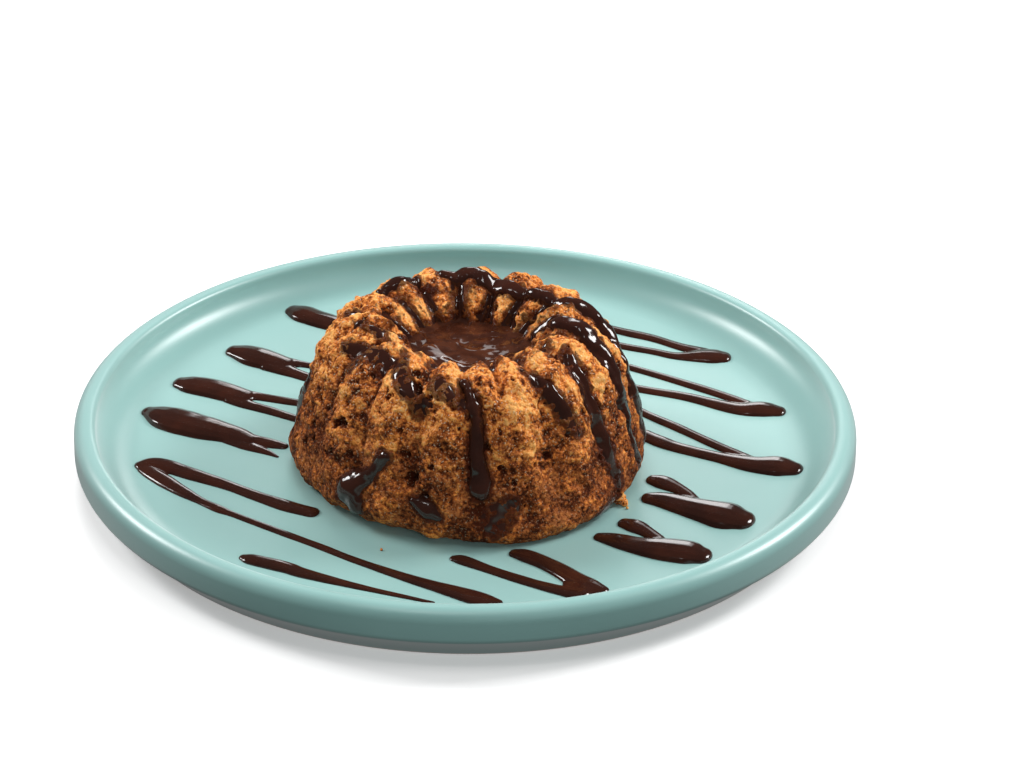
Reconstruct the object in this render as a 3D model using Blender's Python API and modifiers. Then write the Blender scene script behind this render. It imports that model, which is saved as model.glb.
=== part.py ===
"""A mini bundt lava cake on a walled dessert plate.

The cake is solid, with sixteen uneven flutes and a crater on top that holds a pool of chocolate
sauce. Thick sauce runs lie fused on the cake, and thick drizzle strokes lie fused on the plate.
Metres, +Z up. The origin is the middle of the plate's foot, at table level.
"""

import math

import bmesh
import bpy
from mathutils import Matrix, Vector, noise
from mathutils.bvhtree import BVHTree

MM = 0.001
WELD = 0.02 * MM
GAP = 0.3

# Plate, in millimetres
PLATE_RADIUS = 100.0
PLATE_HEIGHT = 16.8
FLOOR_LEVEL = 8.0
FLOOR_RADIUS = 84.5
LIP_WIDTH = 5.6
LIP_INNER_ROUND = 1.6
LIP_OUTER_ROUND = 2.4
WALL_FOOT_LEVEL = 8.3
FOOT_RADIUS = 91.1
FOOT_RING_WIDTH = 6.0
FOOT_RECESS = 3.0
PLATE_STEPS = 72

# Cake, in millimetres, with heights measured from the plate's floor
CAKE_X = 0.8
CAKE_Y = -9.5
CAKE_CREST_HEIGHT = 40.8
CAKE_CREST_RADIUS = 24.9
CAKE_STEPS = 128
UNEVEN_SIZE = 11.0
UNEVEN_DEPTH = 0.8
CRAG_SIZE = 4.2
CRAG_DEPTH = 0.8

# Where the cake's foot spreads or is drawn in: azimuth, half width in degrees, and millimetres outward
BASE_BULGES = ((24, 30, 3.0), (-36, 28, -1.4), (-92, 26, 1.2), (90, 20, -0.6))
BASE_BULGE_HEIGHT = 10.0

# Lobes between the flutes, in degrees from the front and positive towards +X. The crest has one lobe more.
LOBE_AZIMUTHS = (-162, -138, -115, -95, -76, -53, -30, -9, 18, 42, 64, 84, 107, 130, 152, 175)
CREST_AZIMUTHS = (-159, -139, -116, -95, -76, -54, -33, -12, 6, 22, 42, 64, 85, 107, 130, 152, 175)
CREST_BLEND = (33.0, 38.5)
FLUTE_DEPTH_CREST = 2.8
FLUTE_DEPTH_WALL = 2.1
FLUTE_DEPTH_BASE = 0.3
FLUTE_DEPTH_POOL = 1.6

# Crust inside this radius lies under the sauce and is nearly even
SUNK_RADIUS = 12.0
SUNK_UNEVENNESS = 0.3

# Sauce pool in the crater, in millimetres
POOL_LEVEL = 32.0
POOL_GAP = 0.5
POOL_STEPS = 64
POOL_FREE_RADIUS = 11.5
POOL_PROFILE = (
    (0.0, POOL_LEVEL), (6.0, POOL_LEVEL), (11.0, POOL_LEVEL + 0.05), (14.0, POOL_LEVEL + 0.3),
    (13.0, POOL_LEVEL - 1.2), (12.0, POOL_LEVEL - 2.8), (10.0, 28.0), (6.0, 26.9), (0.0, 26.6),
)

# Height of a drizzle stroke over its half width, and how deep a run's middle is sunk in the cake
STROKE_RISE = 0.42
RUN_SINK = 0.4

# A rope of sauce ends this far past its last point and this thin there, in parts of its half width
END_REACH = 0.7
END_HALF = 0.4

# A ray is cast on the cake's skin from this far outside it, to this length, in millimetres
PROBE_START = 6.0
PROBE_REACH = 14.0

# Cake outline over the lobes, from the crater's floor over the crest to the bottom: radius, height
CAKE_PROFILE = (
    (0.0, 25.6), (7.0, 26.0), (11.3, 27.4), (13.3, 29.6), (14.6, 32.2), (16.2, 34.8), (18.2, 37.2),
    (20.3, 39.0), (22.4, 40.2), (CAKE_CREST_RADIUS, CAKE_CREST_HEIGHT), (27.6, 40.6), (30.6, 39.4),
    (33.4, 37.4), (35.8, 34.8), (37.7, 31.4), (39.1, 27.7), (40.3, 24.0), (41.3, 20.3), (42.4, 16.5),
    (43.3, 12.7), (44.2, 8.8), (44.6, 5.0), (43.4, 2.2), (41.2, 0.8), (37.0, GAP), (0.0, GAP),
)
POOL_EDGE = CAKE_PROFILE.index((14.6, 32.2))

# Drizzle strokes on the plate's floor: x, y and half width of each point, in millimetres
STROKES = {
    "back_left": ((-46.8, 73.0, 2.8), (-44.6, 71.4, 3.9), (-41.6, 69.0, 4.1), (-34.2, 64.2, 3.6),
                  (-20.0, 54.5, 2.4), (-4.0, 47.5, 1.8), (14.0, 44.5, 1.7), (29.0, 37.6, 1.7),
                  (44.4, 30.0, 1.7), (57.6, 25.3, 2.0), (70.4, 18.9, 2.8), (77.1, 18.6, 3.6),
                  (81.6, 17.6, 2.5)),
    "left_2": ((-61.8, 49.2, 3.0), (-58.6, 47.6, 4.4), (-54.1, 44.6, 5.0), (-48.0, 41.4, 3.6)),
    "left_2_upper": ((-50.0, 43.8, 3.0), (-45.2, 42.4, 2.0), (-41.0, 41.2, 1.4), (-27.5, 35.5, 1.3)),
    "left_2_lower": ((-52.0, 41.6, 3.4), (-47.5, 38.4, 2.6), (-41.5, 34.4, 2.0), (-32.6, 28.2, 1.8)),
    "left_3": ((-74.8, 30.9, 2.9), (-72.0, 29.8, 4.2), (-66.2, 27.6, 4.6), (-57.9, 23.0, 3.7)),
    "left_3_upper": ((-60.0, 25.2, 2.8), (-55.0, 24.0, 2.0), (-49.8, 22.4, 1.8), (-38.5, 18.8, 1.6)),
    "left_3_lower": ((-61.0, 22.6, 2.6), (-57.0, 19.4, 2.1), (-50.8, 16.0, 1.8), (-43.6, 11.6, 1.6)),
    "left_4": ((-82.2, 15.2, 2.5), (-79.6, 13.4, 4.4), (-75.7, 10.5, 5.7), (-69.0, 6.8, 5.5),
               (-60.3, 2.8, 4.3), (-55.6, -0.4, 3.2)),
    "left_4_upper": ((-60.0, 2.6, 2.6), (-55.0, 0.5, 2.3), (-50.0, -1.6, 2.2), (-46.4, -3.0, 1.5)),
    "left_4_lower": ((-60.5, 0.5, 2.4), (-56.0, -2.9, 2.0), (-50.9, -6.0, 1.3), (-47.8, -8.5, 0.5)),
    "left_5_upper": ((-82.6, -13.9, 2.0), (-78.1, -12.9, 2.9), (-68.8, -18.3, 2.7), (-60.1, -23.5, 2.1),
                     (-52.0, -29.2, 2.1), (-44.3, -34.1, 2.5), (-38.0, -37.2, 2.3)),
    "left_5_lower": ((-81.4, -15.3, 2.0), (-78.3, -18.9, 2.6), (-72.0, -26.0, 2.3), (-66.5, -31.4, 1.5),
                     (-61.2, -35.9, 1.6), (-57.5, -38.5, 1.2), (-47.6, -45.6, 1.2), (-35.9, -53.8, 1.3),
                     (-26.9, -60.5, 1.3), (-13.3, -69.3, 1.7), (-2.5, -75.4, 2.6), (4.0, -79.0, 2.9),
                     (8.0, -80.8, 1.8)),
    "left_6": ((-54.4, -59.4, 1.3), (-51.9, -60.7, 2.3), (-43.2, -64.6, 2.4), (-39.2, -67.1, 2.1),
               (-25.4, -73.4, 1.2), (-7.4, -80.6, 0.6)),
    "front_left": ((-2.8, -59.3, 1.3), (-0.6, -60.1, 2.1), (5.2, -64.0, 1.7), (12.4, -68.6, 1.7),
                   (19.5, -72.6, 1.9), (24.9, -75.1, 2.3), (28.4, -76.4, 2.6)),
    "front_right": ((12.2, -56.6, 1.9), (14.8, -57.7, 2.7), (19.5, -61.2, 2.8), (23.5, -65.1, 2.9),
                    (26.9, -69.1, 3.1), (30.2, -72.3, 3.2), (33.4, -74.6, 2.2)),
    "front_web": ((24.8, -71.0, 1.2), (27.2, -73.0, 2.4), (30.0, -74.8, 2.6)),
    "right_1_upper": ((21.0, 73.0, 1.6), (41.3, 62.4, 1.8), (50.0, 58.3, 1.8), (57.1, 53.6, 1.8),
                      (63.6, 50.1, 2.4)),
    "right_1_lower": ((20.0, 62.5, 1.5), (41.1, 53.9, 1.6), (49.8, 50.7, 1.6), (56.3, 48.1, 1.9),
                      (64.7, 48.0, 3.6), (68.6, 47.6, 2.7)),
    "right_2_upper": ((14.0, 59.0, 1.5), (42.9, 41.9, 1.5), (53.7, 35.3, 1.6), (66.4, 26.9, 1.7),
                      (74.4, 20.6, 1.9)),
    "right_3_upper": ((33.0, 31.5, 1.5), (45.3, 17.3, 1.6), (54.9, 8.4, 1.7), (63.1, 0.4, 1.7),
                      (68.5, -4.5, 1.8), (73.4, -9.0, 1.9)),
    "right_3_lower": ((45.6, 4.8, 2.4), (49.6, 1.2, 2.6), (54.5, -2.3, 2.4), (64.9, -7.4, 2.5),
                      (73.2, -11.0, 3.7), (79.5, -12.0, 4.6), (83.8, -13.2, 3.1)),
    "right_4_drop": ((47.4, -19.2, 2.3), (50.2, -20.7, 3.0), (55.0, -25.2, 2.0), (58.0, -30.0, 1.6)),
    "right_4": ((46.0, -28.7, 2.5), (50.2, -29.9, 3.7), (57.1, -33.7, 4.6), (65.2, -37.9, 5.9),
                (69.2, -39.8, 4.4)),
    "right_5_drop": ((39.6, -41.3, 2.2), (42.2, -42.8, 3.0), (45.4, -46.0, 2.2), (48.4, -50.0, 1.8)),
    "right_5": ((33.2, -48.3, 1.9), (36.6, -49.6, 2.9), (44.0, -53.2, 4.1), (54.0, -55.8, 5.4),
                (58.2, -57.4, 3.7)),
}

# Sauce runs on the cake: azimuth in degrees, distance run from the pool's edge and half width in millimetres
RUNS = {
    "front": ((-3, 19, 1.2), (1, 25, 1.4), (3, 31, 1.6), (3, 38, 1.9), (4, 44, 2.5), (4, 48, 2.4)),
    "right_front": ((29, 18, 1.2), (33, 23, 1.6), (36, 29, 1.8), (39, 34, 1.7), (42, 38, 1.3)),
    "right_groove": ((57, 18, 1.4), (54, 25, 1.9), (53, 32, 2.0), (55, 40, 1.9), (56, 48, 1.6),
                     (58, 56, 1.4)),
    "back_ribbon": ((-165, 15, 1.3), (-172, 14, 2.0), (-180, 14.5, 2.2), (-190, 12.5, 2.4), (-198, 11, 2.3),
                    (-206, 10.5, 2.2), (-215, 10.3, 2.0), (-224, 10.8, 1.7), (-233, 12, 1.5),
                    (-242, 13.5, 1.6), (-249, 16, 2.0), (-254, 21, 2.4), (-258, 26, 2.6), (-264, 31, 2.5),
                    (-269, 38, 2.4), (-270, 46, 2.3), (-270, 56, 1.9)),
    "channel": ((98, 4, 2.2), (95, 7.5, 2.9), (90, 11, 3.0), (85, 15, 2.9), (80, 20.5, 2.6),
                (76, 27, 2.5), (74, 36, 2.3), (74, 46, 2.1), (74, 55, 1.7)),
    "left_groove": ((-87, 17, 1.5), (-78, 14, 2.0), (-70, 12, 1.5)),
    "left_front_patch": ((-71, 22, 1.4), (-60, 19, 2.2), (-46, 18, 1.8)),
    "left_front_groove": ((-41, 15, 1.8), (-34, 20, 2.0), (-26, 25, 1.6)),
    "front_patch": ((-16, 21, 1.6), (-8, 24, 1.9), (0, 26, 1.5)),
    "back_left_cap": ((-150, 17, 1.3), (-138, 16, 2.1), (-127, 18, 1.3)),
    "left_edge": ((-94, 40, 1.2), (-94, 47, 1.8), (-96, 54, 1.5)),
    "left_foot": ((-30, 42, 1.4), (-36, 48, 1.8), (-42, 53, 3.4), (-40, 57, 2.6)),
    "foot_drop": ((-18, 51.5, 0.9), (-14, 53, 2.0), (-10, 55, 1.2)),
    "right_foot": ((45, 60, 1.2), (49, 60.5, 2.1), (54, 60, 1.4)),
}


def clear_scene():
    for item in list(bpy.data.objects):
        bpy.data.objects.remove(item, do_unlink=True)


def new_collection(name):
    group = bpy.data.collections.new(name)
    bpy.context.scene.collection.children.link(group)
    return group


def principled(name, colour, roughness):
    surface = bpy.data.materials.new(name)
    surface.use_nodes = True
    shader = surface.node_tree.nodes["Principled BSDF"]
    shader.inputs["Base Color"].default_value = (*colour, 1.0)
    shader.inputs["Roughness"].default_value = roughness
    shader.inputs["Metallic"].default_value = 0.0
    return surface


def arc(centre_r, centre_z, radius_r, radius_z, start, end, count):
    """Points of an elliptical arc in the profile plane, by angles in degrees from +r towards +z."""
    points = []
    for step in range(count + 1):
        angle = math.radians(start + (end - start) * step / count)
        points.append((centre_r + radius_r * math.cos(angle), centre_z + radius_z * math.sin(angle)))
    return points


def baked(shape, group, name, surface):
    """A plain mesh object that holds the evaluated shape, which is then removed."""
    view = shape.evaluated_get(bpy.context.evaluated_depsgraph_get())
    mesh = bpy.data.meshes.new_from_object(view)
    mesh.transform(shape.matrix_world)
    welded = bmesh.new()
    welded.from_mesh(mesh)
    bmesh.ops.remove_doubles(welded, verts=welded.verts, dist=WELD)
    welded.to_mesh(mesh)
    welded.free()
    mesh.materials.clear()
    mesh.materials.append(surface)
    bpy.data.objects.remove(shape, do_unlink=True)
    solid = bpy.data.objects.new(name, mesh)
    group.objects.link(solid)
    return solid


def turned(name, profile, steps, group, surface):
    """A profile of (radius, height) points in millimetres, turned about the Z axis."""
    mesh = bpy.data.meshes.new(name + "_profile")
    edges = [(index, index + 1) for index in range(len(profile) - 1)]
    mesh.from_pydata([(r * MM, 0.0, z * MM) for r, z in profile], edges, [])
    shape = bpy.data.objects.new(name + "_profile", mesh)
    group.objects.link(shape)
    screw = shape.modifiers.new("turn", "SCREW")
    screw.axis = "Z"
    screw.angle = math.tau
    screw.steps = steps
    screw.render_steps = steps
    screw.use_merge_vertices = True
    screw.merge_threshold = WELD
    bpy.context.view_layer.update()
    return baked(shape, group, name, surface)


def bead(name, points, group, surface, squash=1.0):
    """A rope of sauce along points of (position, radius) in millimetres, rounded off past both ends."""
    first = points[0][0] + (points[0][0] - points[1][0]).normalized() * points[0][1] * END_REACH
    last = points[-1][0] + (points[-1][0] - points[-2][0]).normalized() * points[-1][1] * END_REACH
    rope = [(first, points[0][1] * END_HALF), *points, (last, points[-1][1] * END_HALF)]
    curve = bpy.data.curves.new(name, "CURVE")
    curve.dimensions = "3D"
    curve.bevel_depth = MM
    curve.bevel_resolution = 2
    curve.use_fill_caps = True
    spline = curve.splines.new("POLY")
    spline.points.add(len(rope) - 1)
    for control, (place, radius) in zip(spline.points, rope):
        control.co = (*(place * MM), 1.0)
        control.radius = radius
    shape = bpy.data.objects.new(name + "_rope", curve)
    group.objects.link(shape)
    bpy.context.view_layer.update()
    solid = baked(shape, group, name, surface)
    level = Matrix.Translation((0, 0, first.z * MM))
    solid.data.transform(level @ Matrix.Diagonal((1, 1, squash, 1)) @ level.inverted())
    return solid


def fuse(body, additions):
    """Join every object of a collection to the body with one Boolean union, then drop the collection."""
    union = body.modifiers.new("fuse", "BOOLEAN")
    union.operation = "UNION"
    union.operand_type = "COLLECTION"
    union.collection = additions
    union.solver = "MANIFOLD"
    bpy.context.view_layer.update()
    view = body.evaluated_get(bpy.context.evaluated_depsgraph_get())
    mesh = bpy.data.meshes.new_from_object(view)
    body.modifiers.remove(union)
    body.data = mesh
    for item in list(additions.objects):
        bpy.data.objects.remove(item, do_unlink=True)
    bpy.data.collections.remove(additions)


def plate_profile():
    lip_inner = PLATE_RADIUS - LIP_WIDTH
    cove_height = PLATE_HEIGHT - LIP_INNER_ROUND - FLOOR_LEVEL
    cove_width = lip_inner - FLOOR_RADIUS
    cove = arc(FLOOR_RADIUS, FLOOR_LEVEL + cove_height, cove_width, cove_height, -90, 0, 4)
    lip_in = arc(lip_inner + LIP_INNER_ROUND, PLATE_HEIGHT - LIP_INNER_ROUND,
                 LIP_INNER_ROUND, LIP_INNER_ROUND, 180, 90, 3)
    lip_out = arc(PLATE_RADIUS - LIP_OUTER_ROUND, PLATE_HEIGHT - LIP_OUTER_ROUND,
                  LIP_OUTER_ROUND, LIP_OUTER_ROUND, 90, 0, 3)
    wall_foot = ((PLATE_RADIUS, WALL_FOOT_LEVEL + 0.9), (PLATE_RADIUS - 0.8, WALL_FOOT_LEVEL - 0.9))
    foot = ((FOOT_RADIUS + 0.4, 0.4), (FOOT_RADIUS - 0.3, 0.0), (FOOT_RADIUS - FOOT_RING_WIDTH, 0.0),
            (FOOT_RADIUS - FOOT_RING_WIDTH - 1.2, FOOT_RECESS))
    return [(0.0, FLOOR_LEVEL), *cove, *lip_in[1:], *lip_out, *wall_foot, *foot, (0.0, FOOT_RECESS)]


def make_plate(group):
    glaze = principled("plate_glaze", (0.36, 0.60, 0.57), 0.35)
    plate = turned("plate", plate_profile(), PLATE_STEPS, group, glaze)
    additions = new_collection("drizzle")
    sauce = principled("drizzle_sauce", (0.035, 0.012, 0.008), 0.15)
    for name, points in STROKES.items():
        rope = [(Vector((x, y, FLOOR_LEVEL)), half) for x, y, half in points]
        bead("drizzle_" + name, rope, additions, sauce, STROKE_RISE)
    fuse(plate, additions)
    return plate


def smooth_step(low, high, value):
    share = min(max((value - low) / (high - low), 0.0), 1.0)
    return share * share * (3.0 - 2.0 * share)


def flute(azimuth, lobes):
    """How far into the groove an azimuth lies: 0 on a lobe's back, 1 in the sharp groove between two."""
    ring = [*lobes, lobes[0] + 360]
    if azimuth < ring[0]:
        azimuth += 360
    for before, after in zip(ring, ring[1:]):
        if before <= azimuth <= after:
            return 1.0 - abs(math.cos(math.pi * (azimuth - before) / (after - before)))
    return 0.0


def flute_depth(radius, height):
    if radius < CAKE_CREST_RADIUS:
        bottom = FLUTE_DEPTH_POOL * smooth_step(POOL_LEVEL - 4, POOL_LEVEL, height)
        return bottom + (FLUTE_DEPTH_CREST - bottom) * smooth_step(POOL_LEVEL, CAKE_CREST_HEIGHT, height)
    wall = FLUTE_DEPTH_BASE + (FLUTE_DEPTH_WALL - FLUTE_DEPTH_BASE) * smooth_step(2, 26, height)
    return wall + (FLUTE_DEPTH_CREST - wall) * smooth_step(26, CAKE_CREST_HEIGHT, height)


def azimuth_of(x, y):
    """Degrees from the front, -Y, positive towards +X."""
    return math.degrees(math.atan2(x, -y))


def base_bulge(azimuth):
    return sum(reach * math.exp(-((azimuth - middle) / width) ** 2) for middle, width, reach in BASE_BULGES)


def cake_skin(vertex):
    """Where a vertex of the turned cake goes: into its flute, and in and out by the crust's crags."""
    spot = vertex.co / MM
    radius = math.hypot(spot.x, spot.y)
    on_base = spot.z < 2 * GAP
    azimuth = azimuth_of(spot.x, spot.y)
    crest = smooth_step(*CREST_BLEND, spot.z) if radius > CAKE_CREST_RADIUS else 1.0
    groove = flute(azimuth, LOBE_AZIMUTHS) * (1.0 - crest) + flute(azimuth, CREST_AZIMUTHS) * crest
    depth = flute_depth(radius, spot.z) * groove
    unevenness = UNEVEN_DEPTH * noise.noise(spot / UNEVEN_SIZE) + CRAG_DEPTH * noise.noise(spot / CRAG_SIZE)
    bulge = base_bulge(azimuth) * (1.0 - smooth_step(0, BASE_BULGE_HEIGHT, spot.z))
    outward = Vector((spot.x, spot.y, 0)).normalized()
    if on_base:
        return spot + outward * bulge * min(radius / 30, 1.0)
    if radius < SUNK_RADIUS:
        unevenness *= SUNK_UNEVENNESS
    moved = spot + vertex.normal * (unevenness - depth) + outward * bulge
    moved.z = max(moved.z, GAP)
    return moved


def make_cake(group):
    crumb = principled("cake_crumb", (0.30, 0.10, 0.025), 0.7)
    cake = turned("cake", CAKE_PROFILE, CAKE_STEPS, group, crumb)
    shape = bmesh.new()
    shape.from_mesh(cake.data)
    shape.normal_update()
    places = [cake_skin(vertex) for vertex in shape.verts]
    for vertex, place in zip(shape.verts, places):
        vertex.co = place * MM
    shape.to_mesh(cake.data)
    shape.free()
    return cake


def profile_lengths():
    """Distance along the cake's profile from its pool's edge, for each profile point."""
    lengths = [0.0]
    for start, end in zip(CAKE_PROFILE, CAKE_PROFILE[1:]):
        lengths.append(lengths[-1] + math.dist(start, end))
    return [length - lengths[POOL_EDGE] for length in lengths]


def on_skin(skin, lengths, azimuth, run):
    """The point of the cake's skin at an azimuth and a distance run from the pool's edge."""
    index = max(position for position, length in enumerate(lengths) if length <= run)
    start, end = CAKE_PROFILE[index], CAKE_PROFILE[index + 1]
    share = (run - lengths[index]) / (lengths[index + 1] - lengths[index])
    radius = start[0] + (end[0] - start[0]) * share
    height = start[1] + (end[1] - start[1]) * share
    tangent_r, tangent_z = end[0] - start[0], end[1] - start[1]
    turn = math.radians(azimuth)
    ahead = Vector((math.sin(turn), -math.cos(turn), 0))
    outward = (ahead * -tangent_z + Vector((0, 0, tangent_r))).normalized()
    spot = ahead * radius + Vector((0, 0, height))
    hit = skin.ray_cast((spot + outward * PROBE_START) * MM, -outward, PROBE_REACH * MM)[0]
    return hit / MM, outward


def fuse_runs(cake):
    sauce = principled("run_sauce", (0.035, 0.012, 0.008), 0.12)
    additions = new_collection("runs")
    shape = bmesh.new()
    shape.from_mesh(cake.data)
    skin = BVHTree.FromBMesh(shape)
    lengths = profile_lengths()
    for name, points in RUNS.items():
        rope = []
        for azimuth, run, half in points:
            spot, outward = on_skin(skin, lengths, azimuth, run)
            rope.append((spot - outward * half * RUN_SINK, half))
        bead("run_" + name, rope, additions, sauce)
    shape.free()
    fuse(cake, additions)


def make_pool(cake, group):
    """A turned pool whose rings are pushed out to the crater's wall, less a small gap."""
    sauce = principled("pool_sauce", (0.04, 0.013, 0.008), 0.1)
    pool = turned("sauce_pool", POOL_PROFILE, POOL_STEPS, group, sauce)
    shape = bmesh.new()
    shape.from_mesh(cake.data)
    skin = BVHTree.FromBMesh(shape)
    shape.free()
    for vertex in pool.data.vertices:
        spot = vertex.co / MM
        radius = math.hypot(spot.x, spot.y)
        if radius < POOL_FREE_RADIUS:
            continue
        outward = Vector((spot.x, spot.y, 0)).normalized()
        middle = Vector((0, 0, spot.z))
        reach = skin.ray_cast(middle * MM, outward)[3] / MM - POOL_GAP
        vertex.co = (middle + outward * reach) * MM
    return pool


def place_on_plate(item):
    item.location = (CAKE_X * MM, CAKE_Y * MM, FLOOR_LEVEL * MM)


def shade(item, angle):
    item.data.shade_smooth()
    item.data.set_sharp_from_angle(angle=math.radians(angle))


def main():
    clear_scene()
    group = new_collection("lava_cake_on_plate")
    plate = make_plate(group)
    cake = make_cake(group)
    pool = make_pool(cake, group)
    fuse_runs(cake)
    place_on_plate(cake)
    place_on_plate(pool)
    shade(plate, 40)
    shade(cake, 60)
    shade(pool, 50)


main()
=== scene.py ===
import math

import bmesh
import bpy
from mathutils import Matrix, Vector, noise
from mathutils.bvhtree import BVHTree
from mathutils.kdtree import KDTree


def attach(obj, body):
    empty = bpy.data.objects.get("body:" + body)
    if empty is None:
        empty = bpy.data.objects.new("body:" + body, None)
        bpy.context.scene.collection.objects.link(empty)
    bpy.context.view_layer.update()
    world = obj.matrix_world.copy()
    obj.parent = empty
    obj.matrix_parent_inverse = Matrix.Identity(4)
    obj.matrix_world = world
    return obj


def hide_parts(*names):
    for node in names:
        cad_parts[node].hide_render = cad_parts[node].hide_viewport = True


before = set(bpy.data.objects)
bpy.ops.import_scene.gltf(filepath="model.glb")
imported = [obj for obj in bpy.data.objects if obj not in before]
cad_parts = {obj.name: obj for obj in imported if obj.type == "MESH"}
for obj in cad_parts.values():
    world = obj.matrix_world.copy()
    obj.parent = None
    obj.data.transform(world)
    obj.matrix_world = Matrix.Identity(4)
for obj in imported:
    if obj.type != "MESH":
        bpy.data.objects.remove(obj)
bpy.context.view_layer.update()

# Camera
# It stands 1.2 m from the plate and looks down on it at 29 degrees. The plate's middle lies a little left of
# the frame's middle and below it, so the camera is turned by that many pixels.
MM = 0.001
FRAME_WIDTH = 1024
FRAME_HEIGHT = 768
FOCAL_PIXELS = 4673.55
CAMERA_DISTANCE = 1.2
CAMERA_DROP = 0.503069
CAMERA_ROLL = 0.007093
PLATE_PIXEL = (465.92, 442.71)
SENSOR_WIDTH = 36.0
FLOOR_LEVEL = 8.0

bpy.ops.object.camera_add()
camera = bpy.context.object
camera.name = "photo_camera"
camera.data.sensor_width = SENSOR_WIDTH
camera.data.lens = FOCAL_PIXELS / FRAME_WIDTH * SENSOR_WIDTH
ahead = Vector((0, math.cos(CAMERA_DROP), -math.sin(CAMERA_DROP)))
right = Vector((1, 0, 0))
up = right.cross(ahead)
across = (PLATE_PIXEL[0] - FRAME_WIDTH / 2) / FOCAL_PIXELS
below = (PLATE_PIXEL[1] - FRAME_HEIGHT / 2) / FOCAL_PIXELS
yaw = -math.atan(across)
pitch = math.atan(below * math.cos(yaw))
turned_ahead = ahead * math.cos(yaw) + right * math.sin(yaw)
turned_right = right * math.cos(yaw) - ahead * math.sin(yaw)
view_ahead = turned_ahead * math.cos(pitch) + up * math.sin(pitch)
level_up = up * math.cos(pitch) - turned_ahead * math.sin(pitch)
view_right = turned_right * math.cos(CAMERA_ROLL) + level_up * math.sin(CAMERA_ROLL)
view_up = level_up * math.cos(CAMERA_ROLL) - turned_right * math.sin(CAMERA_ROLL)
turn = Matrix((view_right, view_up, -view_ahead)).transposed().to_4x4()
stand = Vector((0, -CAMERA_DISTANCE * math.cos(CAMERA_DROP), CAMERA_DISTANCE * math.sin(CAMERA_DROP)))
camera.matrix_world = Matrix.Translation(stand + Vector((0, 0, FLOOR_LEVEL * MM))) @ turn
bpy.context.scene.camera = camera

# Plate
# A stoneware dessert plate, thrown with a flat floor, a low upright wall and a rounded lip, and dipped in a
# satin teal glaze. Its foot ring is wiped clean before firing, so it shows the bare clay.
PLATE_RADIUS = 100.0
PLATE_HEIGHT = 16.8
FLOOR_RADIUS = 84.5
LIP_WIDTH = 5.6
LIP_INNER_ROUND = 1.6
LIP_OUTER_ROUND = 3.4
WALL_FOOT_LEVEL = 8.3
FOOT_RADIUS = 91.1
FOOT_RING_WIDTH = 6.0
FOOT_RECESS = 3.0
PLATE_STEPS = 288
GLAZE_TEAL = (0.235, 0.45, 0.425, 1)
GLAZE_PALE = (0.27, 0.49, 0.465, 1)
BARE_CLAY = (0.55, 0.50, 0.43, 1)
GLAZE_LINE = 0.5 * MM


class Tone:
    """A number that varies over a surface. Sums and products of tones add the Math nodes."""

    def __init__(self, finish, socket):
        self.finish = finish
        self.socket = socket

    def maths(self, operation, first, second):
        return self.finish.node("ShaderNodeMath", {"operation": operation}, {0: first, 1: second})

    def __add__(self, other):
        return self.maths("ADD", self, other)

    def __sub__(self, other):
        return self.maths("SUBTRACT", self, other)

    def __rsub__(self, other):
        return self.maths("SUBTRACT", other, self)

    def __mul__(self, other):
        return self.maths("MULTIPLY", self, other)

    def __truediv__(self, other):
        return self.maths("DIVIDE", self, other)

    def larger(self, other):
        return self.maths("MAXIMUM", self, other)

    __radd__ = __add__
    __rmul__ = __mul__


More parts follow.
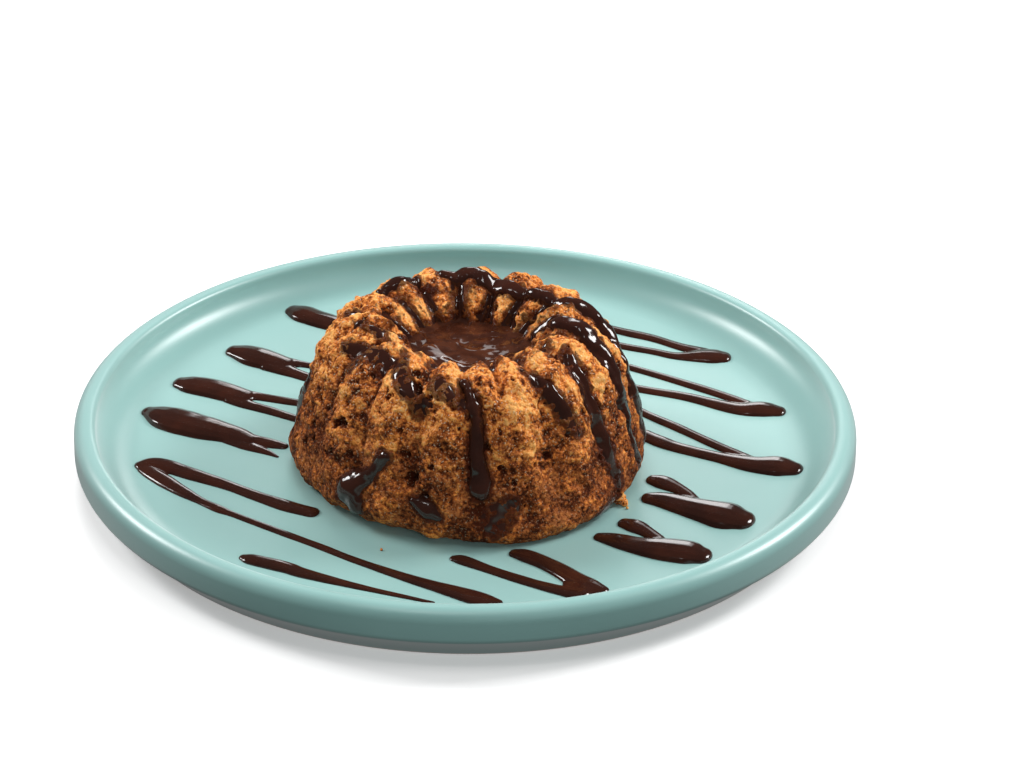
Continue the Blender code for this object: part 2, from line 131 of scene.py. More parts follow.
class Finish:
    """A procedural material, patterned on the piece's own coordinates."""

    def __init__(self, name, constants):
        self.material = bpy.data.materials.new(name)
        self.material.use_nodes = True
        self.tree = self.material.node_tree
        self.shader = self.tree.nodes["Principled BSDF"]
        for socket, value in constants.items():
            self.shader.inputs[socket].default_value = value
        self.place = self.node("ShaderNodeTexCoord", {}, {}, "Object")

    def node(self, kind, settings, inputs, output=0):
        made = self.tree.nodes.new(kind)
        for key, value in settings.items():
            if key == "stops":
                for place, colour in value[1:-1]:
                    made.color_ramp.elements.new(place)
                for element, (place, colour) in zip(made.color_ramp.elements, value):
                    element.position = place
                    element.color = colour
            else:
                setattr(made, key, value)
        for key, value in inputs.items():
            if isinstance(value, Tone):
                self.tree.links.new(value.socket, made.inputs[key])
            else:
                made.inputs[key].default_value = value
        return Tone(self, made.outputs[output])

    def attribute(self, name):
        return self.node("ShaderNodeAttribute", {"attribute_name": name}, {}, "Fac")

    def grain(self, size, detail=3.0, rough=0.5):
        inputs = {"Vector": self.place, "Scale": 1 / (size * MM), "Detail": detail, "Roughness": rough}
        return self.node("ShaderNodeTexNoise", {}, inputs, "Fac")

    def bubbles(self, size, place):
        """Distance from the middle of the nearest cell, in parts of the cells' size."""
        inputs = {"Vector": place, "Scale": 1 / (size * MM)}
        return self.node("ShaderNodeTexVoronoi", {}, inputs, "Distance")

    def stirred(self, size, reach):
        """The piece's own coordinates, pushed about so that cells lose their even shape."""
        inputs = {"Vector": self.place, "Scale": 1 / (size * MM), "Detail": 1.0}
        push = self.node("ShaderNodeTexNoise", {}, inputs, "Color")
        even = self.node("ShaderNodeVectorMath", {"operation": "SUBTRACT"}, {0: push, 1: (0.5, 0.5, 0.5)})
        sized = self.node("ShaderNodeVectorMath", {"operation": "SCALE"}, {0: even, "Scale": reach * MM})
        return self.node("ShaderNodeVectorMath", {"operation": "ADD"}, {0: self.place, 1: sized})

    def rise(self, value, low, high):
        inputs = {"Value": value, "From Min": low, "From Max": high}
        return self.node("ShaderNodeMapRange", {"interpolation_type": "SMOOTHSTEP"}, inputs, "Result")

    def ramp(self, value, stops):
        return self.node("ShaderNodeValToRGB", {"stops": stops}, {"Fac": value}, "Color")

    def mix(self, share, first, second):
        inputs = {"Factor": share, 6: first, 7: second}
        return self.node("ShaderNodeMix", {"data_type": "RGBA"}, inputs, 2)

    def bump(self, height, strength, depth):
        inputs = {"Height": height, "Strength": strength, "Distance": depth * MM}
        return self.node("ShaderNodeBump", {}, inputs, "Normal")

    def feed(self, socket, tone):
        self.tree.links.new(tone.socket, self.shader.inputs[socket])


def walked_and_turned(name, outline, steps):
    """One vertex is walked along an outline of (radius, height) in millimetres, then turned about Z."""
    bpy.ops.object.select_all(action="DESELECT")
    start = outline[0]
    bpy.ops.mesh.primitive_plane_add(size=MM, location=(0, 0, 0))
    piece = bpy.context.object
    piece.name = name
    bpy.ops.object.mode_set(mode="EDIT")
    bpy.ops.mesh.merge(type="CENTER")
    bpy.ops.transform.translate(value=(start[0] * MM, 0, start[1] * MM))
    for (radius, height), (next_radius, next_height) in zip(outline, outline[1:]):
        step = ((next_radius - radius) * MM, 0, (next_height - height) * MM)
        bpy.ops.mesh.extrude_region_move(TRANSFORM_OT_translate={"value": step})
    bpy.ops.object.mode_set(mode="OBJECT")
    wheel = piece.modifiers.new("wheel", "SCREW")
    wheel.steps = steps
    wheel.render_steps = steps
    wheel.use_merge_vertices = True
    wheel.merge_threshold = 0.01 * MM
    bpy.ops.object.modifier_apply(modifier=wheel.name)
    bpy.ops.object.mode_set(mode="EDIT")
    bpy.ops.mesh.select_all(action="SELECT")
    bpy.ops.mesh.remove_doubles(threshold=0.01 * MM)
    bpy.ops.mesh.normals_make_consistent(inside=False)
    bpy.ops.object.mode_set(mode="OBJECT")
    bpy.ops.object.shade_smooth()
    return piece


def arc(centre_r, centre_z, radius_r, radius_z, start, end, count):
    """Points of an elliptical arc in the outline's plane, by angles in degrees from +r towards +z."""
    points = []
    for step in range(count + 1):
        angle = math.radians(start + (end - start) * step / count)
        points.append((centre_r + radius_r * math.cos(angle), centre_z + radius_z * math.sin(angle)))
    return points


def dress(piece, finish, node):
    """Gives a piece its material, hangs it under the root body and hides the CAD node that it stands for."""
    piece.data.materials.clear()
    piece.data.materials.append(finish.material)
    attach(piece, "root")
    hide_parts(node)


lip_inner = PLATE_RADIUS - LIP_WIDTH
cove_height = PLATE_HEIGHT - LIP_INNER_ROUND - FLOOR_LEVEL
cove = arc(FLOOR_RADIUS, FLOOR_LEVEL + cove_height, lip_inner - FLOOR_RADIUS, cove_height, -90, 0, 20)
lip_in = arc(lip_inner + LIP_INNER_ROUND, PLATE_HEIGHT - LIP_INNER_ROUND, LIP_INNER_ROUND, LIP_INNER_ROUND, 180, 90, 8)
lip_out = arc(PLATE_RADIUS - LIP_OUTER_ROUND, PLATE_HEIGHT - LIP_OUTER_ROUND, LIP_OUTER_ROUND, LIP_OUTER_ROUND, 90, 0, 8)
wall_foot = arc(PLATE_RADIUS - 2.0, WALL_FOOT_LEVEL + 1.0, 2.0, 2.0, 0, -60, 5)
foot = [(FOOT_RADIUS + 0.8, 0.9), (FOOT_RADIUS + 0.3, 0.25), (FOOT_RADIUS - 0.4, 0.0),
        (FOOT_RADIUS - FOOT_RING_WIDTH, 0.0), (FOOT_RADIUS - FOOT_RING_WIDTH - 0.6, 0.4),
        (FOOT_RADIUS - FOOT_RING_WIDTH - 1.2, FOOT_RECESS)]
floor_rings = [(radius, FLOOR_LEVEL) for radius in (0, 20, 40, 60, 75)]
underside = [(radius, FOOT_RECESS) for radius in (60, 30, 0)]
plate_outline = [*floor_rings, *cove, *lip_in[1:], *lip_out, *wall_foot, *foot, *underside]
plate = walked_and_turned("plate_glazed", plate_outline, PLATE_STEPS)

satin = {"IOR": 1.55, "Specular IOR Level": 0.8, "Sheen Weight": 0.6, "Sheen Roughness": 0.45}
glaze = Finish("teal_satin_glaze", satin)
height = glaze.node("ShaderNodeSeparateXYZ", {}, {0: glaze.place}, "Z")
pooled_glaze = glaze.mix(glaze.grain(24, 2), GLAZE_TEAL, GLAZE_PALE)
glazed = glaze.rise(height, GLAZE_LINE, GLAZE_LINE * 1.6)
glaze.feed("Base Color", glaze.mix(glazed, BARE_CLAY, pooled_glaze))
glaze.feed("Roughness", 0.34 + 0.05 * glaze.grain(9, 3) + 0.4 * (1 - glazed))
glaze.feed("Normal", glaze.bump(glaze.grain(3.5, 2), 0.25, 0.04))
dress(plate, glaze, "plate")

# Drizzle
# Chocolate sauce, flicked over the plate in a zigzag from a spoon. It stands up in flat beads with round ends,
# thick where the spoon turned and thread-thin between, and strokes that touch have run together.
STROKE_RISE = 0.42
SAUCE_BROWN = (0.027, 0.0085, 0.0055, 1)
SAUCE_THIN = (0.043, 0.0120, 0.0068, 1)
DRIZZLE_VOXEL = 0.34
STROKES = {
    "back_left": ((-46.8, 73.0, 2.8), (-44.6, 71.4, 3.9), (-41.6, 69.0, 4.1), (-34.2, 64.2, 3.6),
                  (-20.0, 54.5, 2.4), (-4.0, 47.5, 1.8), (14.0, 44.5, 1.7), (29.0, 37.6, 1.7),
                  (44.4, 30.0, 1.7), (57.6, 25.3, 2.0), (70.4, 18.9, 2.8), (77.1, 18.6, 3.6),
                  (81.6, 17.6, 2.5)),
    "left_2": ((-61.8, 49.2, 3.0), (-58.6, 47.6, 4.4), (-54.1, 44.6, 5.0), (-48.0, 41.4, 3.6)),
    "left_2_upper": ((-50.0, 43.8, 3.0), (-45.2, 42.4, 2.0), (-41.0, 41.2, 1.4), (-27.5, 35.5, 1.3)),
    "left_2_lower": ((-52.0, 41.6, 3.4), (-47.5, 38.4, 2.6), (-41.5, 34.4, 2.0), (-32.6, 28.2, 1.8)),
    "left_3": ((-74.8, 30.9, 2.9), (-72.0, 29.8, 4.2), (-66.2, 27.6, 4.6), (-57.9, 23.0, 3.7)),
    "left_3_upper": ((-60.0, 25.2, 2.8), (-55.0, 24.0, 2.0), (-49.8, 22.4, 1.8), (-38.5, 18.8, 1.6)),
    "left_3_lower": ((-61.0, 22.6, 2.6), (-57.0, 19.4, 2.1), (-50.8, 16.0, 1.8), (-43.6, 11.6, 1.6)),
    "left_4": ((-82.2, 15.2, 2.5), (-79.6, 13.4, 4.4), (-75.7, 10.5, 5.7), (-69.0, 6.8, 5.5),
               (-60.3, 2.8, 4.3), (-55.6, -0.4, 3.2)),
    "left_4_upper": ((-60.0, 2.6, 2.6), (-55.0, 0.5, 2.3), (-50.0, -1.6, 2.2), (-46.4, -3.0, 1.5)),
    "left_4_lower": ((-60.5, 0.5, 2.4), (-56.0, -2.9, 2.0), (-50.9, -6.0, 1.3), (-47.8, -8.5, 0.5)),
    "left_5_upper": ((-82.6, -13.9, 2.0), (-78.1, -12.9, 2.9), (-68.8, -18.3, 2.7), (-60.1, -23.5, 2.1),
                     (-52.0, -29.2, 2.1), (-44.3, -34.1, 2.5), (-38.0, -37.2, 2.3)),
    "left_5_lower": ((-81.4, -15.3, 2.0), (-78.3, -18.9, 2.6), (-72.0, -26.0, 2.3), (-66.5, -31.4, 1.5),
                     (-61.2, -35.9, 1.6), (-57.5, -38.5, 1.2), (-47.6, -45.6, 1.2), (-35.9, -53.8, 1.3),
                     (-26.9, -60.5, 1.3), (-13.3, -69.3, 1.7), (-2.5, -75.4, 2.6), (4.0, -79.0, 2.9),
                     (8.0, -80.8, 1.8)),
    "left_6": ((-54.4, -59.4, 1.3), (-51.9, -60.7, 2.3), (-43.2, -64.6, 2.4), (-39.2, -67.1, 2.1),
               (-25.4, -73.4, 1.2), (-7.4, -80.6, 0.6)),
    "front_left": ((-2.8, -59.3, 1.3), (-0.6, -60.1, 2.1), (5.2, -64.0, 1.7), (12.4, -68.6, 1.7),
                   (19.5, -72.6, 1.9), (24.9, -75.1, 2.3), (28.4, -76.4, 2.6)),
    "front_right": ((12.2, -56.6, 1.9), (14.8, -57.7, 2.7), (19.5, -61.2, 2.8), (23.5, -65.1, 2.9),
                    (26.9, -69.1, 3.1), (30.2, -72.3, 3.2), (33.4, -74.6, 2.2)),
    "front_web": ((24.8, -71.0, 1.2), (27.2, -73.0, 2.4), (30.0, -74.8, 2.6)),
    "right_1_upper": ((21.0, 73.0, 1.6), (41.3, 62.4, 1.8), (50.0, 58.3, 1.8), (57.1, 53.6, 1.8),
                      (63.6, 50.1, 2.4)),
    "right_1_lower": ((20.0, 62.5, 1.5), (41.1, 53.9, 1.6), (49.8, 50.7, 1.6), (56.3, 48.1, 1.9),
                      (64.7, 48.0, 3.6), (68.6, 47.6, 2.7)),
    "right_2_upper": ((14.0, 59.0, 1.5), (42.9, 41.9, 1.5), (53.7, 35.3, 1.6), (66.4, 26.9, 1.7),
                      (74.4, 20.6, 1.9)),
    "right_3_upper": ((33.0, 31.5, 1.5), (45.3, 17.3, 1.6), (54.9, 8.4, 1.7), (63.1, 0.4, 1.7),
                      (68.5, -4.5, 1.8), (73.4, -9.0, 1.9)),
    "right_3_lower": ((45.6, 4.8, 2.4), (49.6, 1.2, 2.6), (54.5, -2.3, 2.4), (64.9, -7.4, 2.5),
                      (73.2, -11.0, 3.7), (79.5, -12.0, 4.6), (83.8, -13.2, 3.1)),
    "right_4_drop": ((47.4, -19.2, 2.3), (50.2, -20.7, 3.0), (55.0, -25.2, 2.0), (58.0, -30.0, 1.6)),
    "right_4": ((46.0, -28.7, 2.5), (50.2, -29.9, 3.7), (57.1, -33.7, 4.6), (65.2, -37.9, 5.9),
                (69.2, -39.8, 4.4)),
    "right_5_drop": ((39.6, -41.3, 2.2), (42.2, -42.8, 3.0), (45.4, -46.0, 2.2), (48.4, -50.0, 1.8)),
    "right_5": ((33.2, -48.3, 1.9), (36.6, -49.6, 2.9), (44.0, -53.2, 4.1), (54.0, -55.8, 5.4),
                (58.2, -57.4, 3.7)),
}


def flowing(points, pitch):
    """Tuples of numbers at about an even pitch on the smooth line through points, whose first two are a place."""
    ends = [tuple(2 * a - b for a, b in zip(points[0], points[1])), *points]
    ends.append(tuple(2 * a - b for a, b in zip(points[-1], points[-2])))
    line = []
    for before, start, end, after in zip(ends, ends[1:], ends[2:], ends[3:]):
        count = max(2, round(math.dist(start[:2], end[:2]) / pitch))
        for step in range(count):
            t = step / count
            line.append(tuple(
                0.5 * (2 * b + (c - a) * t + (2 * a - 5 * b + 4 * c - d) * t * t + (3 * b - a - 3 * c + d) * t ** 3)
                for a, b, c, d in zip(before, start, end, after)))
    line.append(tuple(points[-1]))
    return line


def rounded(samples, reach):
    """Adds a round end past both ends of samples of (place, half width)."""
    caps = []
    for (place, half), (inner, _) in ((samples[0], samples[1]), (samples[-1], samples[-2])):
        out = (place - inner).normalized() * half * reach
        caps.append([(place + out * share, half * math.sqrt(1 - share * share)) for share in (0.4, 0.7, 0.88, 0.97)])
    return [*reversed(caps[0]), *samples, *caps[1]]


def sauce_rope(name, samples):
    """A round rope of sauce along samples of (place, half width) in millimetres."""
    bpy.ops.object.select_all(action="DESELECT")
    bpy.ops.curve.primitive_nurbs_path_add(location=(0, 0, 0))
    rope = bpy.context.object
    rope.name = name
    rope.data.splines.clear()
    rope.data.bevel_depth = MM
    rope.data.bevel_resolution = 4
    rope.data.use_fill_caps = True
    line = rope.data.splines.new("POLY")
    line.points.add(len(samples) - 1)
    for point, (place, half) in zip(line.points, samples):
        point.co = (*(place * MM), 1.0)
        point.radius = half
    bpy.ops.object.convert(target="MESH")
    return bpy.context.object


def run_together(name, ropes, voxel, soften):
    """Joins ropes of sauce, melts them into one skin and lets its creases soften."""
    bpy.ops.object.select_all(action="DESELECT")
    for rope in ropes:
        rope.select_set(True)
    bpy.context.view_layer.objects.active = ropes[0]
    bpy.ops.object.join()
    piece = bpy.context.object
    piece.name = name
    melt = piece.modifiers.new("melt", "REMESH")
    melt.mode = "VOXEL"
    melt.voxel_size = voxel * MM
    bpy.ops.object.modifier_apply(modifier=melt.name)
    soft = piece.modifiers.new("soften", "SMOOTH")
    soft.factor = 0.5
    soft.iterations = soften
    bpy.ops.object.modifier_apply(modifier=soft.name)
    bpy.ops.object.shade_smooth()
    return piece


drizzle_ropes = []
for name, points in STROKES.items():
    samples = [(Vector((x, y, 0)), max(half, 0.4) + 0.08 + 0.06 * half * noise.noise(Vector((x, y, 3)) / 5))
               for x, y, half in flowing(points, 0.8)]
    drizzle_ropes.append(sauce_rope("stroke_" + name, rounded(samples, 0.7)))
drizzle = run_together("drizzle_strokes", drizzle_ropes, DRIZZLE_VOXEL, 8)
bpy.ops.object.mode_set(mode="EDIT")
bpy.ops.mesh.select_all(action="SELECT")
bpy.ops.mesh.bisect(plane_co=(0, 0, -0.3 * MM), plane_no=(0, 0, 1), clear_inner=True, use_fill=True)
bpy.ops.mesh.select_all(action="SELECT")
bpy.ops.transform.resize(value=(1, 1, STROKE_RISE))
bpy.ops.object.mode_set(mode="OBJECT")
level = min(vertex.co.z for vertex in drizzle.data.vertices) + 0.3 * STROKE_RISE * MM
for vertex in drizzle.data.vertices:
    vertex.co.z += FLOOR_LEVEL * MM - level

sauce = Finish("chocolate_sauce", {"IOR": 1.47, "Specular IOR Level": 0.5})
streaks = sauce.rise(sauce.grain(7, 2), 0.3, 0.8)
sauce.feed("Base Color", sauce.mix(streaks, SAUCE_BROWN, SAUCE_THIN))
sauce.feed("Roughness", 0.10 + 0.06 * sauce.grain(4, 2))
sauce.feed("Normal", sauce.bump(sauce.grain(2.6, 2), 0.3, 0.05))
dress(drizzle, sauce, "plate")

# Cake
# Moist sponge, baked in a fluted mould and turned out, so that its sixteen lobes are uneven and its crust is open
# with bubbles. It is golden on the lobes' backs and towards the top and browner in the grooves, partly its baked
# colour and partly painted light and painted shade. The bubbles' pits carry painted shade, and pale specks are
# painted glints. It is finer low down, and damp round the sauce.
CAKE_X = 0.8
CAKE_Y = -9.5
CAKE_CREST_HEIGHT = 40.8
CAKE_CREST_RADIUS = 24.9
CAKE_STEPS = 960
CAKE_PITCH = 0.26
CAKE_FACES = 194000
GAP = 0.3
LOBE_AZIMUTHS = (-162, -138, -115, -95, -76, -53, -30, -9, 18, 42, 64, 84, 107, 130, 152, 175)
CREST_AZIMUTHS = (-159, -139, -116, -95, -76, -54, -33, -12, 6, 22, 42, 64, 85, 107, 130, 152, 175)
FLUTE_DEPTH_CREST = 2.8
FLUTE_DEPTH_WALL = 2.1
FLUTE_DEPTH_BASE = 0.3
FLUTE_DEPTH_POOL = 1.6
POOL_LEVEL = 32.0
BASE_BULGES = ((24, 30, 3.0), (-36, 28, -1.4), (-92, 26, 1.2), (90, 20, -0.6))
BASE_BULGE_HEIGHT = 10.0
UNEVEN_SIZE = 11.0
UNEVEN_DEPTH = 0.8
CRAG_SIZE = 4.2
CRAG_DEPTH = 0.8
CAKE_PROFILE = (
    (0.0, 25.6), (7.0, 26.0), (11.3, 27.4), (13.3, 29.6), (14.6, 32.2), (16.2, 34.8), (18.2, 37.2),
    (20.3, 39.0), (22.4, 40.2), (CAKE_CREST_RADIUS, CAKE_CREST_HEIGHT), (27.6, 40.6), (30.6, 39.4),
    (33.4, 37.4), (35.8, 34.8), (37.7, 31.4), (39.1, 27.7), (40.3, 24.0), (41.3, 20.3), (42.4, 16.5),
    (43.3, 12.7), (44.2, 8.8), (44.6, 5.0), (43.4, 2.2), (41.2, 0.8), (37.0, GAP), (0.0, GAP),
)
POOL_EDGE = CAKE_PROFILE.index((14.6, 32.2))
BUBBLE_SIZES = ((7.0, 0.72), (4.2, 0.85), (2.6, 0.80), (1.7, 0.70))
RUNS = {
    "front": ((-3, 19, 1.2), (1, 25, 1.4), (3, 31, 1.6), (3, 38, 1.9), (4, 44, 2.5), (4, 48, 2.4)),
    "right_front": ((29, 18, 1.2), (33, 23, 1.6), (36, 29, 1.8), (39, 34, 1.7), (42, 38, 1.3)),
    "right_groove": ((57, 18, 1.4), (54, 25, 1.9), (53, 32, 2.0), (55, 40, 1.9), (56, 48, 1.6),
                     (58, 56, 1.4)),
    "back_ribbon": ((-165, 15, 1.3), (-172, 14, 2.0), (-180, 14.5, 2.2), (-190, 12.5, 2.4), (-198, 11, 2.3),
                    (-206, 10.5, 2.2), (-215, 10.3, 2.0), (-224, 10.8, 1.7), (-233, 12, 1.5),
                    (-242, 13.5, 1.6), (-249, 16, 2.0), (-254, 21, 2.4), (-258, 26, 2.6), (-264, 31, 2.5),
                    (-269, 38, 2.4), (-270, 46, 2.3), (-270, 56, 1.9)),
    "channel": ((98, 4, 2.2), (95, 7.5, 2.9), (90, 11, 3.0), (85, 15, 2.9), (80, 20.5, 2.6),
                (76, 27, 2.5), (74, 36, 2.3), (74, 46, 2.1), (74, 55, 1.7)),
    "left_groove": ((-87, 17, 1.5), (-78, 14, 2.0), (-70, 12, 1.5)),
    "left_front_patch": ((-71, 22, 1.4), (-60, 19, 2.2), (-46, 18, 1.8)),
    "left_front_groove": ((-41, 15, 1.8), (-34, 20, 2.0), (-26, 25, 1.6)),
    "front_patch": ((-16, 21, 1.6), (-8, 24, 1.9), (0, 26, 1.5)),
    "back_left_cap": ((-150, 17, 1.3), (-138, 16, 2.1), (-127, 18, 1.3)),
    "left_edge": ((-94, 40, 1.2), (-94, 47, 1.8), (-96, 54, 1.5)),
    "left_foot": ((-30, 42, 1.4), (-36, 48, 1.8), (-42, 53, 3.4), (-40, 57, 2.6)),
    "foot_drop": ((-18, 51.5, 0.9), (-14, 53, 2.0), (-10, 55, 1.2)),
    "right_foot": ((45, 60, 1.2), (49, 60.5, 2.1), (54, 60, 1.4)),
}
RUN_RISE = 0.46
GROOVE_FILL = 0.5
THIN_RUNS = {"left_groove": 0.25, "left_front_patch": 0.25, "left_front_groove": 0.2, "front_patch": 0.15, "right_foot": 0.6,
             "right_front": 0.4, "right_groove": 0.4, "left_edge": 0.5}
DAMP_PATCHES = ((9, 55.5, 3.6), (13, 52.5, 2.6), (-20, 28, 2.4), (-60, 24, 2.4), (-46, 20, 2.2), (-104, 22, 2.6))
DAMP_BODY = 0.12
CRUMB_TONES = (
    (0.04, (0.050, 0.010, 0.0035, 1)), (0.26, (0.185, 0.047, 0.0125, 1)), (0.46, (0.42, 0.113, 0.025, 1)),
    (0.68, (0.80, 0.265, 0.055, 1)), (0.98, (0.97, 0.48, 0.145, 1)),
)
CRUMB_DULL = (0.26, 0.105, 0.043, 1)
CRUMB_WET = (0.055, 0.0105, 0.0045, 1)
# Pale colour of the painted glints on the crumb.
CRUMB_PAINTED_GLINT = (0.95, 0.76, 0.52, 1)


def smooth_step(low, high, value):
    share = min(max((value - low) / (high - low), 0.0), 1.0)
    return share * share * (3.0 - 2.0 * share)


def flute(azimuth, lobes):
    """How far into the groove an azimuth lies: 0 on a lobe's back, 1 in the sharp groove between two."""
    ring = [*lobes, lobes[0] + 360]
    if azimuth < ring[0]:
        azimuth += 360
    for before, after in zip(ring, ring[1:]):
        if before <= azimuth <= after:
            return 1.0 - abs(math.cos(math.pi * (azimuth - before) / (after - before)))
    return 0.0


def flute_depth(radius, height):
    if radius < CAKE_CREST_RADIUS:
        bottom = FLUTE_DEPTH_POOL * smooth_step(POOL_LEVEL - 4, POOL_LEVEL, height)
        return bottom + (FLUTE_DEPTH_CREST - bottom) * smooth_step(POOL_LEVEL, CAKE_CREST_HEIGHT, height)
    wall = FLUTE_DEPTH_BASE + (FLUTE_DEPTH_WALL - FLUTE_DEPTH_BASE) * smooth_step(2, 26, height)
    return wall + (FLUTE_DEPTH_CREST - wall) * smooth_step(26, CAKE_CREST_HEIGHT, height)


def azimuth_of(x, y):
    """Degrees from the front, -Y, positive towards +X."""
    return math.degrees(math.atan2(x, -y))


def base_bulge(azimuth):
    return sum(reach * math.exp(-((azimuth - middle) / width) ** 2) for middle, width, reach in BASE_BULGES)


def bubble_depth(spot, openness):
    """How deep the bubbles that broke through the crust cut at a spot, in millimetres."""
    deepest = 0.0
    spot = spot + 0.7 * noise.noise_vector(spot / 1.5)
    for size, share in BUBBLE_SIZES:
        distances, centres = noise.voronoi(spot / size)
        reach = size * (0.14 + 0.30 * noise.cell(centres[0] * 37.0)) * share * openness
        away = distances[0] * size
        if away < reach:
            deepest = max(deepest, 1.2 * math.sqrt(reach * reach - away * away))
    return min(deepest, 1.9)


def profile_lengths():
    """Distance along the cake's profile from its pool's edge, for each profile point."""
    lengths = [0.0]
    for start, end in zip(CAKE_PROFILE, CAKE_PROFILE[1:]):
        lengths.append(lengths[-1] + math.dist(start, end))
    return [length - lengths[POOL_EDGE] for length in lengths]


def on_skin(skin, lengths, azimuth, run):
    """The point of the cake's skin at an azimuth and a distance run from the pool's edge."""
    index = max(position for position, length in enumerate(lengths) if length <= run)
    start, end = CAKE_PROFILE[index], CAKE_PROFILE[index + 1]
    share = (run - lengths[index]) / (lengths[index + 1] - lengths[index])
    radius = start[0] + (end[0] - start[0]) * share
    height = start[1] + (end[1] - start[1]) * share
    tangent_r, tangent_z = end[0] - start[0], end[1] - start[1]
    turn = math.radians(azimuth)
    facing = Vector((math.sin(turn), -math.cos(turn), 0))
    outward = (facing * -tangent_z + Vector((0, 0, tangent_r))).normalized()
    spot = facing * radius + Vector((0, 0, height))
    return skin.ray_cast(spot + outward * 6, -outward, 14)[0]


def fluted_skin(vertices):
    """For each vertex of a turned cake, where the smooth fluted skin lies, its outward normal, and its groove."""
    normals = [vertex.normal.copy() for vertex in vertices]
    skin = []
    for vertex, normal in zip(vertices, normals):
        spot = vertex.co / MM
        radius = math.hypot(spot.x, spot.y)
        azimuth = azimuth_of(spot.x, spot.y)
        outward = Vector((spot.x, spot.y, 0)).normalized()
        if spot.z < 2 * GAP:
            skin.append((spot + outward * base_bulge(azimuth) * min(radius / 30, 1.0), normal, radius, 0.0))
            continue
        crest = smooth_step(33.0, 38.5, spot.z) if radius > CAKE_CREST_RADIUS else 1.0
        groove = flute(azimuth, LOBE_AZIMUTHS) * (1.0 - crest) + flute(azimuth, CREST_AZIMUTHS) * crest
        unevenness = UNEVEN_DEPTH * noise.noise(spot / UNEVEN_SIZE) + CRAG_DEPTH * noise.noise(spot / CRAG_SIZE)
        if radius < 12:
            unevenness *= 0.3
        bulge = base_bulge(azimuth) * (1.0 - smooth_step(0, BASE_BULGE_HEIGHT, spot.z))
        place = spot + normal * (unevenness - flute_depth(radius, spot.z) * groove) + outward * bulge
        place.z = max(place.z, GAP)
        skin.append((place, normal, radius, groove))
    return skin


visible_start = CAKE_PROFILE.index((11.3, 27.4))
foot_start = CAKE_PROFILE.index((41.2, 0.8))


def cake_outline(pitch):
    seen = flowing(CAKE_PROFILE[visible_start:foot_start + 1], pitch)
    return [*CAKE_PROFILE[:visible_start], *seen, *CAKE_PROFILE[foot_start + 1:]]


SKIN_STEPS = 360
SKIN_PITCH = 0.8
smooth_cake = walked_and_turned("smooth_cake", cake_outline(SKIN_PITCH), SKIN_STEPS)
places = [place for place, normal, radius, groove in fluted_skin(smooth_cake.data.vertices)]
faces = [tuple(face.vertices) for face in smooth_cake.data.polygons]
skin = BVHTree.FromPolygons(places, faces)
bpy.data.objects.remove(smooth_cake, do_unlink=True)

lengths = profile_lengths()
sauce_line = []
for name, points in RUNS.items():
    for azimuth, run, half in flowing(points, 1.2):
        sauce_line.append((on_skin(skin, lengths, azimuth, run), half, THIN_RUNS.get(name, 1.0)))
for azimuth, run, half in DAMP_PATCHES:
    sauce_line.append((on_skin(skin, lengths, azimuth, run), half, DAMP_BODY))
sauce_tree = KDTree(len(sauce_line))
for index, (place, half, body) in enumerate(sauce_line):
    sauce_tree.insert(place, index)
sauce_tree.balance()


def sauce_depth(place, radius, groove):
    """How high the sauce stands on the smooth skin, in millimetres; below zero it is out of reach by that much."""
    wobble = 0.55 * noise.noise(place / 2.9) + 0.30 * noise.noise(place / 1.2)
    deepest = -4.0
    for centre, index, away in sauce_tree.find_n(place, 5):
        half, body = sauce_line[index][1:]
        half *= 1.08
        reach = half - away - wobble
        if reach <= 0:
            deepest = max(deepest, reach)
            continue
        share = min(reach / half, 1.0)
        swell = body * math.sqrt(share * (2.0 - share))
        filled = GROOVE_FILL * flute_depth(radius, place.z) * groove
        deepest = max(deepest, (RUN_RISE * half + filled) * swell + 0.12 * body * wobble)
    if radius < CAKE_CREST_RADIUS + 1:
        inner = smooth_step(CAKE_CREST_RADIUS + 0.5, CAKE_CREST_RADIUS - 4, radius)
        low = smooth_step(37, 32, place.z)
        film = 1.5 * smooth_step(0.15, 0.8, groove + 0.35 * low) * inner - 1.0 - 0.5 * wobble
        deepest = max(deepest, film * 0.9)
    return deepest


cake = walked_and_turned("cake_crumb", cake_outline(CAKE_PITCH), CAKE_STEPS)
seat = Vector((CAKE_X, CAKE_Y, FLOOR_LEVEL))
painted_pore_shades, damps, golden_and_painted_lights = [], [], []
for vertex, (place, normal, radius, groove) in zip(cake.data.vertices, fluted_skin(cake.data.vertices)):
    wander = noise.fractal(place / 2.1, 0.9, 2.1, 3)
    knobs = abs(noise.noise(place / 2.7 + Vector((7, 3, 1)))) - 0.2
    damp = smooth_step(-1.5, -0.1, sauce_depth(place, radius, groove) + 0.7 * wander)
    high = smooth_step(11, 38, place.z)
    low = smooth_step(15, 5, place.z)
    openness = (0.90 + 0.70 * noise.noise(place / 6.5) + 0.15 * groove) * (1.0 - 0.45 * low)
    depth = 0.0
    if place.z > 2 * GAP:
        depth = bubble_depth(place, max(openness, 0.2))
        lift = (0.42 * wander + 1.2 * knobs * (0.3 + 0.7 * high)) * (1.0 - 0.4 * low)
        place = place + normal * (lift + 0.25 - depth)
        place.z = max(place.z, GAP)
    vertex.co = (place + seat) * MM
    # Pits of the bubbles, hollows between the knobs and the upper grooves are painted darker: painted shade.
    shaded = depth - 0.5 * wander - 1.0 * knobs + 0.5 * high * smooth_step(0.5, 1.0, groove)
    painted_pore_shades.append(smooth_step(0.0, 1.1, shaded))
    damps.append(damp)
    # Lighter towards the top and on the lobes' backs, darker in the grooves: partly the crust's baked colour, partly
    # painted light and painted shade.
    golden_and_painted_lights.append(0.55 * high + 0.45 * (1.0 - groove) * (0.35 + 0.65 * high))
